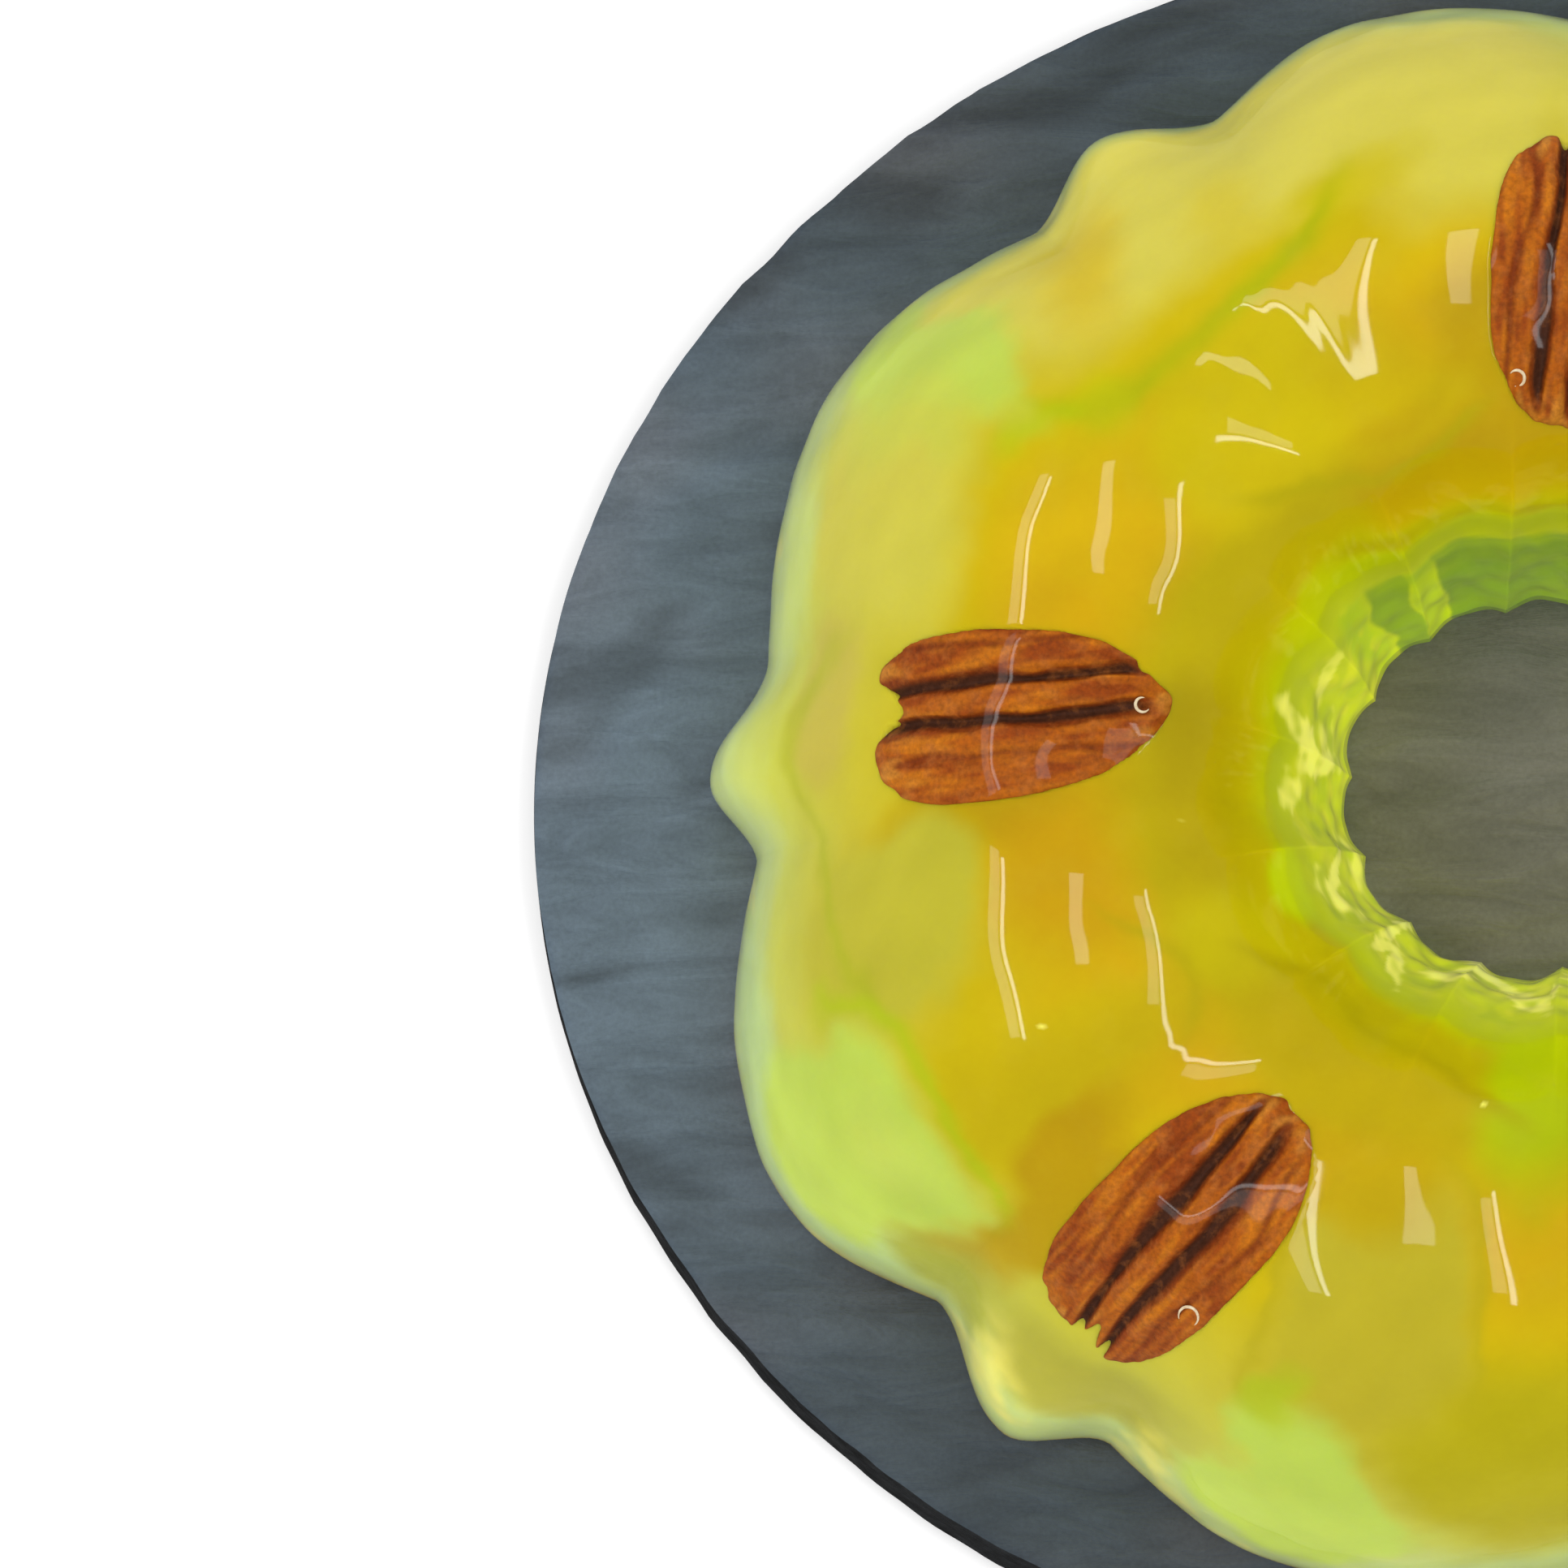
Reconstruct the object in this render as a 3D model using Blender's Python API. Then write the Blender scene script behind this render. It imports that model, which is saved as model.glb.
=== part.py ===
"""Ring-shaped moulded jelly with pecan halves set in its top, on a hand-cut slate plate.

Frame: +Z up, +Y to the back of the plate, origin under the middle of the plate, on the table.
The ring is a turned section whose outer radius, top height and inner radius change round the
ring: seven broad lobes, a narrow rib between each two, and fourteen flutes down the hole.
"""

import math

import bmesh
import bpy
from mathutils import Vector

# ---------------------------------------------------------------- driving sizes, metres and degrees
# slate plate: the underside is the larger outline, the edge is chipped back to the top face
PLATE_HALF_X = 0.1248
PLATE_HALF_Y = 0.1092
PLATE_TOP_HALF_X = 0.1243
PLATE_TOP_HALF_Y = 0.1074
PLATE_TOP_SHIFT_Y = 0.0011
PLATE_THICK = 0.0060
PLATE_SIDES = 96
CHIP_DEPTH = 0.0005

# jelly ring
GAP = 0.0003  # clearance kept between touching pieces
JELLY_CENTRE_Y = 0.0030
JELLY_BASE_Z = PLATE_THICK + GAP
JELLY_HEIGHT = 0.0580
CREST_RADIUS = 0.0580
CREST_VALLEY_DEPTH = 0.0042
HOLE_BASE_RADIUS = 0.0226
HOLE_DRAFT = 0.0058
HOLE_FLUTES = 14
HOLE_FLUTE_DEPTH = 0.0013
HOLE_FLUTE_PHASE = 99.0
HOLE_FLUTE_TWIST = -6.0
RIB_FADE = (0.30, 0.88)  # share of the height over which the ribs melt into the shoulder
COLUMNS = 144
OUTER_ROWS = 10
INNER_ROWS = 9

# one row per rib: rib angle, rib radius, valley before it (angle, radius), valley after it
# (angle, radius), then the crest of the lobe that follows (angle, radius). Radii in mm.
RIBS_AND_LOBES = (
    (22.5, 100.0, 14.5, 94.0, 30.5, 94.0, 47.0, 99.0),
    (72.0, 98.0, 64.0, 93.0, 80.1, 91.8, 102.0, 96.6),
    (124.0, 96.6, 115.3, 91.1, 131.5, 92.0, 151.4, 99.7),
    (179.5, 101.6, 170.7, 95.4, 185.5, 96.1, 207.8, 105.3),
    (230.7, 102.1, 221.2, 96.1, 237.5, 95.1, 251.6, 99.1),
    (282.0, 101.0, 273.5, 94.5, 290.0, 94.5, 307.0, 100.0),
    (333.0, 101.5, 325.0, 95.0, 341.0, 95.0, 357.0, 100.5),
)
LOBE_TOPS = (47.8, 97.8, 153.2, 201.1, 257.2, 307.4, 357.6)  # degrees, highest points of the ring
LOBE_PLUMP = 0.55

# pecan halves: angle round the ring, radius, pointing angle of the notched end, length, width,
# thickness, how far the back stands out of the jelly
PECANS = (
    ("pecan_1", 86.5, 0.0535, 84.0, 0.0322, 0.0188, 0.0078, 0.0012),
    ("pecan_2", 174.3, 0.0574, 185.0, 0.0335, 0.0194, 0.0080, 0.0012),
    ("pecan_3", 232.9, 0.0648, 225.0, 0.0366, 0.0194, 0.0080, 0.0011),
    ("pecan_4", 303.0, 0.0590, 296.0, 0.0340, 0.0186, 0.0078, 0.0012),
    ("pecan_5", 14.5, 0.0580, 21.0, 0.0328, 0.0190, 0.0076, 0.0012),
)
PECAN_STATIONS = 12
PECAN_SIDES = 15
PECAN_UNDER_SIDES = 5
RIM_DEPTH = 0.0009  # how far a nut's rim lies under the jelly's surface
UNDERSIDE_FOLLOW = 0.6  # how much of the surface's bulge along a nut its underside follows
POCKET_CUT_Z = 0.0700


# ---------------------------------------------------------------- jelly ring
def smoothstep(lo, hi, x):
    t = min(1.0, max(0.0, (x - lo) / (hi - lo)))
    return t * t * (3 - 2 * t)


def outline_radius(angle, ribs=1.0):
    """Radius of the ring's foot at an angle in degrees. ribs 0 gives it with the ribs melted away."""
    n = len(RIBS_AND_LOBES)
    for i, row in enumerate(RIBS_AND_LOBES):
        rib_a, rib_r, v0_a, v0_r, v1_a, v1_r, lobe_a, lobe_r = row
        rib_r = 0.5 * (v0_r + v1_r) + 0.8 + ribs * (rib_r - 0.5 * (v0_r + v1_r) - 0.8)
        after = RIBS_AND_LOBES[(i + 1) % n]
        d = (angle - v0_a) % 360
        if d <= rib_a - v0_a:
            return 1e-3 * (v0_r + (rib_r - v0_r) * (0.5 - 0.5 * math.cos(math.pi * d / (rib_a - v0_a))))
        d = (angle - rib_a) % 360
        if d <= v1_a - rib_a:
            return 1e-3 * (v1_r + (rib_r - v1_r) * (0.5 + 0.5 * math.cos(math.pi * d / (v1_a - rib_a))))
        span = (after[2] - v1_a) % 360
        rise = lobe_a - v1_a
        d = (angle - v1_a) % 360
        if d <= rise:
            return 1e-3 * (v1_r + (lobe_r - v1_r) * math.sin(math.pi / 2 * d / rise) ** (2 * LOBE_PLUMP))
        if d < span:
            s = (span - d) / (span - rise)
            return 1e-3 * (after[3] + (lobe_r - after[3]) * math.sin(math.pi / 2 * s) ** (2 * LOBE_PLUMP))
    raise ValueError(f"no sector holds the angle {angle}")


def top_height(angle):
    """Height of the ring's crest above its foot: full on each lobe, lower in the valleys between."""
    n = len(LOBE_TOPS)
    for i, here in enumerate(LOBE_TOPS):
        step = (LOBE_TOPS[(i + 1) % n] - here) % 360
        d = (angle - here) % 360
        if d < step:
            return JELLY_HEIGHT - CREST_VALLEY_DEPTH * (0.5 - 0.5 * math.cos(2 * math.pi * d / step)) ** 1.3
    raise ValueError(f"no lobe holds the angle {angle}")


def outer_point(angle, u):
    """Point of the outer side at share u of the crest height."""
    soft = smoothstep(*RIB_FADE, u)
    foot = (1 - soft) * outline_radius(angle) + soft * outline_radius(angle, 0.0)
    share = max(0.0, 1 - u**1.5) ** (1 / 1.9)
    r = CREST_RADIUS + (foot - CREST_RADIUS) * share
    return at(angle, r, JELLY_BASE_Z + u * top_height(angle))


def inner_point(angle, u):
    """Point of the hole's side at share u of the crest height."""
    turn = HOLE_FLUTE_PHASE + HOLE_FLUTE_TWIST * u
    flute = abs(math.sin(math.radians((angle - turn) * HOLE_FLUTES / 2))) ** 0.9
    fade = 1 - smoothstep(0.8, 1.0, u)
    wall = HOLE_BASE_RADIUS - HOLE_FLUTE_DEPTH * 0.5 + HOLE_DRAFT * u + HOLE_FLUTE_DEPTH * flute * fade
    share = max(0.0, 1 - u**4.0) ** (1 / 2.6)
    r = CREST_RADIUS - (CREST_RADIUS - wall) * share
    return at(angle, r, JELLY_BASE_Z + u * top_height(angle))


def at(angle, r, z):
    a = math.radians(angle)
    return Vector((r * math.cos(a), JELLY_CENTRE_Y + r * math.sin(a), z))


def surface_height(x, y):
    """Height of the jelly's upper surface over a point of the plan, found by halving."""
    r = math.hypot(x, y - JELLY_CENTRE_Y)
    angle = math.degrees(math.atan2(y - JELLY_CENTRE_Y, x)) % 360
    side = outer_point if r >= CREST_RADIUS else inner_point
    lo, hi = 0.0, 1.0
    for _ in range(40):
        mid = 0.5 * (lo + hi)
        p = side(angle, mid)
        reach = math.hypot(p.x, p.y - JELLY_CENTRE_Y)
        inside = reach > r if r >= CREST_RADIUS else reach < r
        lo, hi = (mid, hi) if inside else (lo, mid)
    return JELLY_BASE_Z + 0.5 * (lo + hi) * top_height(angle)


def facing_out(bm):
    """The same mesh with every face turned outwards. Its faces already agree with each other."""
    if bm.calc_volume(signed=True) < 0:
        bmesh.ops.reverse_faces(bm, faces=bm.faces)
    return bm


def ring_rows():
    """Rows of points from the outer foot over the crest to the foot of the hole."""
    rows = []
    for k in range(OUTER_ROWS):
        u = math.sin(0.5 * math.pi * k / OUTER_ROWS)
        rows.append([outer_point(360 * i / COLUMNS, u) for i in range(COLUMNS)])
    rows.append([at(360 * i / COLUMNS, CREST_RADIUS, JELLY_BASE_Z + top_height(360 * i / COLUMNS)) for i in range(COLUMNS)])
    for k in range(INNER_ROWS - 1, -1, -1):
        u = math.sin(0.5 * math.pi * k / INNER_ROWS) ** 0.8
        rows.append([inner_point(360 * i / COLUMNS, u) for i in range(COLUMNS)])
    return rows


def closed_ring(name, rows, colour, roughness):
    """A torus-like mesh through rows of points, the last row joined to the first by a flat underside."""
    bm = bmesh.new()
    verts = [[bm.verts.new(p) for p in row] for row in rows]
    n = len(rows[0])
    for a, b in zip(verts, verts[1:] + verts[:1]):
        for i in range(n):
            j = (i + 1) % n
            bm.faces.new((a[i], a[j], b[j], b[i]))
    return finish(name, facing_out(bm), colour, roughness)


# ---------------------------------------------------------------- pecan halves
def nut_half_width(s, width):
    """Half width of a nut at share s of its length, 0 at the notched end and 1 at the tip."""
    return 0.5 * width * math.sin(math.pi * (0.05 + 0.915 * s)) ** 0.44 * (1.05 - 0.12 * s)


def nut_back(v):
    """Height across a nut's back, 1 on top: a centre ridge between two deep grooves, and a faint
    groove further out on each side. v runs from -1 to 1."""
    dome = math.sqrt(max(0.0, 1 - v * v))
    return dome - 0.62 * math.exp(-(((abs(v) - 0.25) / 0.11) ** 2)) - 0.15 * math.exp(-(((abs(v) - 0.68) / 0.09) ** 2))


def nut_stations(count):
    """Shares of the length, closer together towards the ends, which are cut off square."""
    return [0.5 - 0.5 * math.cos(math.pi * (k + 0.5) / count) for k in range(count)]


def nut_place(angle, radius, pointing):
    """Function from a nut's own plan (along, across) to the plan of the whole."""
    a, p = math.radians(angle), math.radians(pointing)
    cx, cy = radius * math.cos(a), JELLY_CENTRE_Y + radius * math.sin(a)

    def to_plan(along, across):
        return (
            cx + along * math.cos(p) - across * math.sin(p),
            cy + along * math.sin(p) + across * math.cos(p),
        )

    return to_plan


def station_rings(angle, radius, pointing, length, width, thick, proud, grow=0.0):
    """Rings of points across a nut whose back follows the ring's surface, with its rim just under
    it, and whose underside is a shallow bowl. With grow the rings are those of the nut's pocket: as
    much larger all round, and carried straight up out of the jelly."""
    to_plan = nut_place(angle, radius, pointing)
    tip_high, notch_high = (surface_height(*to_plan(end * (0.5 * length + grow), 0.0)) for end in (-1, 1))
    rings = []
    for s in nut_stations(PECAN_STATIONS):
        along = (length + 2 * grow) * (0.5 - s)
        chord = notch_high + (tip_high - notch_high) * s
        half = nut_half_width(s, width) + grow
        end = math.sin(math.pi * s) ** 0.4

        def rim(v):
            x, y = to_plan(along, half * v)
            return x, y, surface_height(x, y) - RIM_DEPTH - grow

        ring = []
        for j in range(PECAN_SIDES):
            v = math.sin(0.5 * math.pi * (-1 + 2 * j / (PECAN_SIDES - 1)))
            x, y, z = rim(v)
            ring.append((x, y, POCKET_CUT_Z if grow else z + (proud + RIM_DEPTH) * nut_back(v) * end))
        if grow:
            ring = [rim(-1.0), *ring, rim(1.0)]
        bulge = surface_height(*to_plan(along, 0.0)) - chord
        for j in range(PECAN_UNDER_SIDES):
            v = 0.86 - 1.72 * j / (PECAN_UNDER_SIDES - 1)
            x, y = to_plan(along, half * v)
            depth = RIM_DEPTH + thick * (0.22 + 0.55 * end * math.sqrt(1 - 0.9 * v * v))
            ring.append((x, y, chord + UNDERSIDE_FOLLOW * bulge - depth - grow))
        rings.append(ring)
    return rings


def body_of(rings):
    bm = bmesh.new()
    verts = [[bm.verts.new(p) for p in ring] for ring in rings]
    n = len(verts[0])
    for a, b in zip(verts, verts[1:]):
        for i in range(n):
            bm.faces.new((a[i], a[(i + 1) % n], b[(i + 1) % n], b[i]))
    bm.faces.new(list(reversed(verts[0])))
    bm.faces.new(verts[-1])
    return facing_out(bm)


# ---------------------------------------------------------------- plate
def plate_mesh():
    """Slate disc, a little wider than deep. Its edge is chipped from above, widest at the front,
    and wavers except where the outline reaches furthest."""
    bm = bmesh.new()
    foot, lip, top = [], [], []
    for i in range(PLATE_SIDES):
        a = 2 * math.pi * i / PLATE_SIDES
        calm = math.sin(2 * a) ** 2
        waver = CHIP_DEPTH * calm * (math.sin(7 * a + 0.6) + 0.6 * math.sin(17 * a + 2.1) + 0.4 * math.sin(31 * a)) / 2
        chip = 1 - (abs(waver) / PLATE_HALF_X)
        foot.append(bm.verts.new((PLATE_HALF_X * chip * math.cos(a), PLATE_HALF_Y * chip * math.sin(a), 0.0)))
        lip.append(bm.verts.new((PLATE_HALF_X * chip * math.cos(a), PLATE_HALF_Y * chip * math.sin(a), PLATE_THICK * 0.45)))
        top.append(
            bm.verts.new(
                (
                    PLATE_TOP_HALF_X * chip * math.cos(a) - waver * 0.6 * math.cos(a),
                    PLATE_TOP_SHIFT_Y + PLATE_TOP_HALF_Y * chip * math.sin(a) - waver * 0.6 * math.sin(a),
                    PLATE_THICK,
                )
            )
        )
    for a, b in ((foot, lip), (lip, top)):
        for i in range(PLATE_SIDES):
            j = (i + 1) % PLATE_SIDES
            bm.faces.new((a[i], a[j], b[j], b[i]))
    bm.faces.new(list(reversed(foot)))
    bm.faces.new(top)
    return facing_out(bm)


# ---------------------------------------------------------------- objects
def finish(name, bm, colour, roughness):
    mesh = bpy.data.meshes.new(name)
    bm.to_mesh(mesh)
    bm.free()
    mesh.shade_smooth()
    mesh.set_sharp_from_angle(angle=math.radians(50))
    obj = bpy.data.objects.new(name, mesh)
    bpy.context.scene.collection.objects.link(obj)
    if colour is not None:
        mat = bpy.data.materials.new(name + "_material")
        mat.use_nodes = True
        shader = mat.node_tree.nodes["Principled BSDF"]
        shader.inputs["Base Color"].default_value = (*colour, 1)
        shader.inputs["Roughness"].default_value = roughness
        shader.inputs["Metallic"].default_value = 0.0
        mesh.materials.append(mat)
        mat.diffuse_color = (*colour, 1)
    return obj


def main():
    for obj in list(bpy.data.objects):
        bpy.data.objects.remove(obj)

    finish("plate", plate_mesh(), (0.09, 0.11, 0.13), 0.6)
    jelly = closed_ring("jelly", ring_rows(), (0.62, 0.52, 0.03), 0.12)
    for name, *sizes in PECANS:
        finish(name, body_of(station_rings(*sizes)), (0.28, 0.07, 0.01), 0.3)
        pocket = finish(name + "_pocket", body_of(station_rings(*sizes, grow=GAP)), None, None)
        pocket.hide_render = True
        pocket.display_type = "WIRE"
        cut = jelly.modifiers.new(name + "_pocket", "BOOLEAN")
        cut.object = pocket
        cut.operation = "DIFFERENCE"
        cut.solver = "EXACT"


main()
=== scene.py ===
import math

import bpy
import numpy as np
from mathutils import Matrix, Vector


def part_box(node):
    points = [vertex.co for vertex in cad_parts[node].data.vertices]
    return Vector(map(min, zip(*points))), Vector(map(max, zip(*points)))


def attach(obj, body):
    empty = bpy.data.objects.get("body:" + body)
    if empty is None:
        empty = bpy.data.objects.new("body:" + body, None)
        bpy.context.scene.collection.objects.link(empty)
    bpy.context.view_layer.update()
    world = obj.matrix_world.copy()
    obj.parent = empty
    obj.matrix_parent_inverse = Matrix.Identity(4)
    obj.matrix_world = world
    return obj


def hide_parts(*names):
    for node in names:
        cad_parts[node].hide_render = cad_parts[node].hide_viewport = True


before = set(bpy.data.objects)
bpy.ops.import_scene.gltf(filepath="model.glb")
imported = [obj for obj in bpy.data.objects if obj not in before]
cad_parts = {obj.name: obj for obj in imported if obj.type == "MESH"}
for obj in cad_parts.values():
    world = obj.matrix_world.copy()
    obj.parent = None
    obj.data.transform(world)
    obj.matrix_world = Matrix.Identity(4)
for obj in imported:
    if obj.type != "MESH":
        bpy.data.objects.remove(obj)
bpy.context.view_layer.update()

MM = 0.001

# ------------------------------------------------------------------ places, from the frame
plate_lo, plate_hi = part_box("plate")
jelly_lo, jelly_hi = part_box("jelly")
PLATE_TOP = plate_hi.z / MM
BASE = jelly_lo.z / MM  # foot of the jelly, mm
CY = (plate_lo.y + plate_hi.y) / 2 / MM + 3.0  # the ring's centre, mm
HEIGHT = (jelly_hi.z - jelly_lo.z) / MM

# ------------------------------------------------------------------ the ring's shape, mm and degrees
SECTORS = (
    (22.5, 100.0, 14.5, 94.0, 30.5, 94.0, 47.0, 99.0),
    (72.0, 98.0, 64.0, 93.0, 80.1, 91.8, 102.0, 96.6),
    (124.0, 96.6, 115.3, 91.1, 131.5, 92.0, 151.4, 99.7),
    (179.5, 101.6, 170.7, 95.4, 185.5, 96.1, 207.8, 105.3),
    (230.7, 102.1, 221.2, 96.1, 237.5, 95.1, 251.6, 99.1),
    (282.0, 101.0, 273.5, 94.5, 290.0, 94.5, 307.0, 100.0),
    (333.0, 101.5, 325.0, 95.0, 341.0, 95.0, 357.0, 100.5),
)
LOBE_TOPS = (47.8, 97.8, 153.2, 201.1, 257.2, 307.4, 357.6)
CREST_R = 58.0
VALLEY = 4.2
HOLE_R, HOLE_DRAFT, FLUTES, FLUTE, PHASE, TWIST = 22.6, 5.8, 14, 1.3, 99.0, -6.0
RIB_FADE = (0.30, 0.88)
COLS, OUTER, INNER = 720, 104, 84

# the nuts: angle, radius, pointing of the notched end, length, width, where the middle ridge runs
# across (-1 to 1) at mid length and how it drifts towards the notched end, how far the two grooves
# lie from it, taper towards the tip, half width and depth of the notch, seed
NUTS = (
    ("pecan_1", 85.8, 53.9, 84.0, 33.8, 18.6, 0.02, 0.0, 0.22, 0.06, 0.12, 0.16, 3),
    ("pecan_2", 174.2, 57.9, 185.0, 35.4, 20.6, -0.19, -0.03, 0.21, 0.14, 0.20, 0.21, 5),
    ("pecan_3", 232.9, 64.5, 225.0, 38.0, 20.4, 0.02, 0.13, 0.22, 0.02, 0.09, 0.15, 8),
    ("pecan_4", 303.0, 59.0, 296.0, 34.0, 18.6, 0.05, 0.02, 0.21, 0.09, 0.14, 0.17, 13),
    ("pecan_5", 14.5, 58.0, 21.0, 32.8, 19.0, -0.10, 0.05, 0.22, 0.12, 0.13, 0.18, 21),
)


def sstep(lo, hi, x):
    t = np.clip((x - lo) / (hi - lo), 0.0, 1.0)
    return t * t * (3 - 2 * t)


class Waves:
    """Smooth noise: a sum of sines with random directions. Wavelengths in mm, result about -1 to 1."""

    def __init__(self, seed, shortest, longest, count=18, stretch=(1.0, 1.0, 1.0)):
        rng = np.random.default_rng(seed)
        d = rng.normal(size=(count, 3))
        d /= np.linalg.norm(d, axis=1)[:, None]
        lam = shortest * (longest / shortest) ** rng.random(count)
        self.k = d * (2 * np.pi / lam)[:, None] / np.array(stretch)
        self.amp = (lam / longest) ** 0.7
        self.amp /= np.sqrt((self.amp**2).sum() / 2)
        self.phase = rng.random(count) * 2 * np.pi

    def __call__(self, x, y, z=0.0):
        x, y, z = np.broadcast_arrays(np.asarray(x, float), y, z)
        out = np.zeros(x.shape)
        for k, a, p in zip(self.k, self.amp, self.phase):
            out += a * np.sin(k[0] * x + k[1] * y + k[2] * z + p)
        return out * 0.7


def outline(a, ribs=1.0):
    a = np.asarray(a, float) % 360
    out = np.zeros(a.shape)
    for i, (ra, rr, v0a, v0r, v1a, v1r, la, lr) in enumerate(SECTORS):
        after = SECTORS[(i + 1) % len(SECTORS)]
        flat = 0.5 * (v0r + v1r) + 0.8
        rib = flat + ribs * (rr - flat)
        d = (a - v0a) % 360
        out = np.where(d <= ra - v0a, v0r + (rib - v0r) * (0.5 - 0.5 * np.cos(np.pi * d / (ra - v0a))), out)
        d = (a - ra) % 360
        out = np.where(d <= v1a - ra, v1r + (rib - v1r) * (0.5 + 0.5 * np.cos(np.pi * d / (v1a - ra))), out)
        span, rise = (after[2] - v1a) % 360, la - v1a
        d = (a - v1a) % 360
        up = v1r + (lr - v1r) * np.sin(np.pi / 2 * np.clip(d / rise, 0, 1)) ** 1.1
        down = after[3] + (lr - after[3]) * np.sin(np.pi / 2 * np.clip((span - d) / (span - rise), 0, 1)) ** 1.1
        out = np.where(d <= rise, up, np.where(d < span, down, out))
    return out


def top(a):
    a = np.asarray(a, float) % 360
    out = np.zeros(a.shape)
    for i, here in enumerate(LOBE_TOPS):
        step = (LOBE_TOPS[(i + 1) % len(LOBE_TOPS)] - here) % 360
        d = (a - here) % 360
        out = np.where(d < step, HEIGHT - VALLEY * (0.5 - 0.5 * np.cos(2 * np.pi * d / step)) ** 1.3, out)
    return out


def ring_surface():
    """Angles of the columns, radius and height over the foot of every point, and the row's place:
    0 at the outer foot, 1 on the crest, 2 at the foot of the hole."""
    a = np.arange(COLS) * 360 / COLS
    tops = top(a)
    rad, high, place = [], [], []
    full = outline(a)
    for k in range(OUTER + 1):
        phi = 0.5 * np.pi * k / OUTER
        u = math.sin(phi) ** (2 / 1.5)
        soft = float(sstep(*RIB_FADE, u))
        foot = (1 - soft) * full + soft * outline(a, 0.0)
        rad.append(CREST_R + (foot - CREST_R) * max(0.0, math.cos(phi)) ** (2 / 1.9))
        high.append(u * tops)
        place.append(k / OUTER)
    for k in range(INNER - 1, -1, -1):
        s = k / INNER
        phi = 0.5 * np.pi * (1 - (1 - s**1.6) ** 1.25)
        u = math.sin(phi) ** 0.5
        flute = np.abs(np.sin(np.radians((a - PHASE - TWIST * u) * FLUTES / 2))) ** 0.9
        wall = HOLE_R - 0.5 * FLUTE + HOLE_DRAFT * u + FLUTE * flute * (1 - float(sstep(0.8, 1.0, u)))
        rad.append(CREST_R - (CREST_R - wall) * max(0.0, math.cos(phi)) ** (2 / 2.6))
        high.append(u * tops)
        place.append(2 - s)
    rad, high, place = np.array(rad), np.array(high), np.array(place)
    # ease the change of curvature where the two sides meet on the crest
    near = np.exp(-(((place - 1.0) / 0.28) ** 2))[1:-1, None]
    for _ in range(60):
        for f in (rad, high):
            f[1:-1] += 0.5 * near * (0.5 * (f[:-2] + f[2:]) - f[1:-1])
    high *= HEIGHT / high.max()
    # the surface of set jelly wavers a little, and crinkles on the hole's wall
    t = np.radians(a)[None, :]
    x, y = rad * np.cos(t), rad * np.sin(t)
    swell = Waves(11, 9.0, 34.0, 26)(x, y, high)
    over = sstep(0.25, 0.7, place)[:, None] * (1 - sstep(1.5, 1.7, place))[:, None]
    high += 0.050 * swell * over
    # faint combed lines left by the mould where a valley crosses the crest
    band = np.exp(-(((place - 0.98) / 0.15) ** 4))[:, None]
    for middle, reach in ((122.0, 8.5), (219.5, 3.5), (300.0, 8.0), (25.0, 9.0)):
        comb = np.sin(2 * np.pi * (a - middle) / 3.1 + 0.5 * np.sin((a - middle) * 0.9))
        high += 0.010 * band * (comb * np.exp(-(((a - middle) / reach) ** 4)))[None, :]
    wall = sstep(1.5, 1.75, place)[:, None]
    rad += 0.22 * Waves(12, 2.5, 9.0, 30, (1, 1, 2.5))(x, y, high) * wall
    side = (1 - sstep(0.3, 0.6, place))[:, None]
    rad += 0.10 * Waves(14, 5.0, 22.0, 24, (1, 1, 2.0))(x, y, high) * side - 0.02 * side
    return a, rad, high, place


ANGLES, RAD, HIGH, PLACE = ring_surface()

# heights on an even grid of radius and angle, for whatever lies on the ring
R_STEP = 0.25
R_GRID = np.arange(20.0, 107.0, R_STEP)
Z_TABLE = np.stack([np.interp(R_GRID, RAD[::-1, c], HIGH[::-1, c]) for c in range(COLS)], 1) + BASE


def surface_z(x, y):
    """Height of the ring's surface over a point of the plan, mm."""
    r = (np.hypot(x, y - CY) - R_GRID[0]) / R_STEP
    t = (np.degrees(np.arctan2(y - CY, x)) % 360) / 360 * COLS
    r = np.clip(r, 0, len(R_GRID) - 1.001)
    i, j = r.astype(int), t.astype(int) % COLS
    fr, ft = r - i, t - np.floor(t)
    k = (j + 1) % COLS
    return (Z_TABLE[i, j] * (1 - fr) + Z_TABLE[i + 1, j] * fr) * (1 - ft) + (Z_TABLE[i, k] * (1 - fr) + Z_TABLE[i + 1, k] * fr) * ft


def smooth_z(x, y, reach=0.7):
    """The same, averaged over a small disc."""
    out = surface_z(x, y) * 0.25
    for a in range(6):
        out = out + surface_z(x + reach * math.cos(a * math.pi / 3), y + reach * math.sin(a * math.pi / 3)) * 0.125
    return out


# ------------------------------------------------------------------ helpers: meshes and materials
def make_object(name, verts, faces, smooth=True):
    mesh = bpy.data.meshes.new(name)
    mesh.from_pydata([tuple(v) for v in verts], [], faces)
    mesh.update()
    if smooth:
        mesh.shade_smooth()
    obj = bpy.data.objects.new(name, mesh)
    bpy.context.scene.collection.objects.link(obj)
    return obj


def paint(mesh, name, values):
    """A colour (n x 3) or a number (n) per vertex, or a vector with kind FLOAT_VECTOR."""
    values = np.asarray(values, np.float32)
    if values.ndim == 1:
        layer = mesh.attributes.new(name, "FLOAT", "POINT")
        layer.data.foreach_set("value", values)
    else:
        layer = mesh.attributes.new(name, "FLOAT_COLOR", "POINT")
        layer.data.foreach_set("color", np.concatenate([values, np.ones((len(values), 1), np.float32)], 1).ravel())


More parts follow.
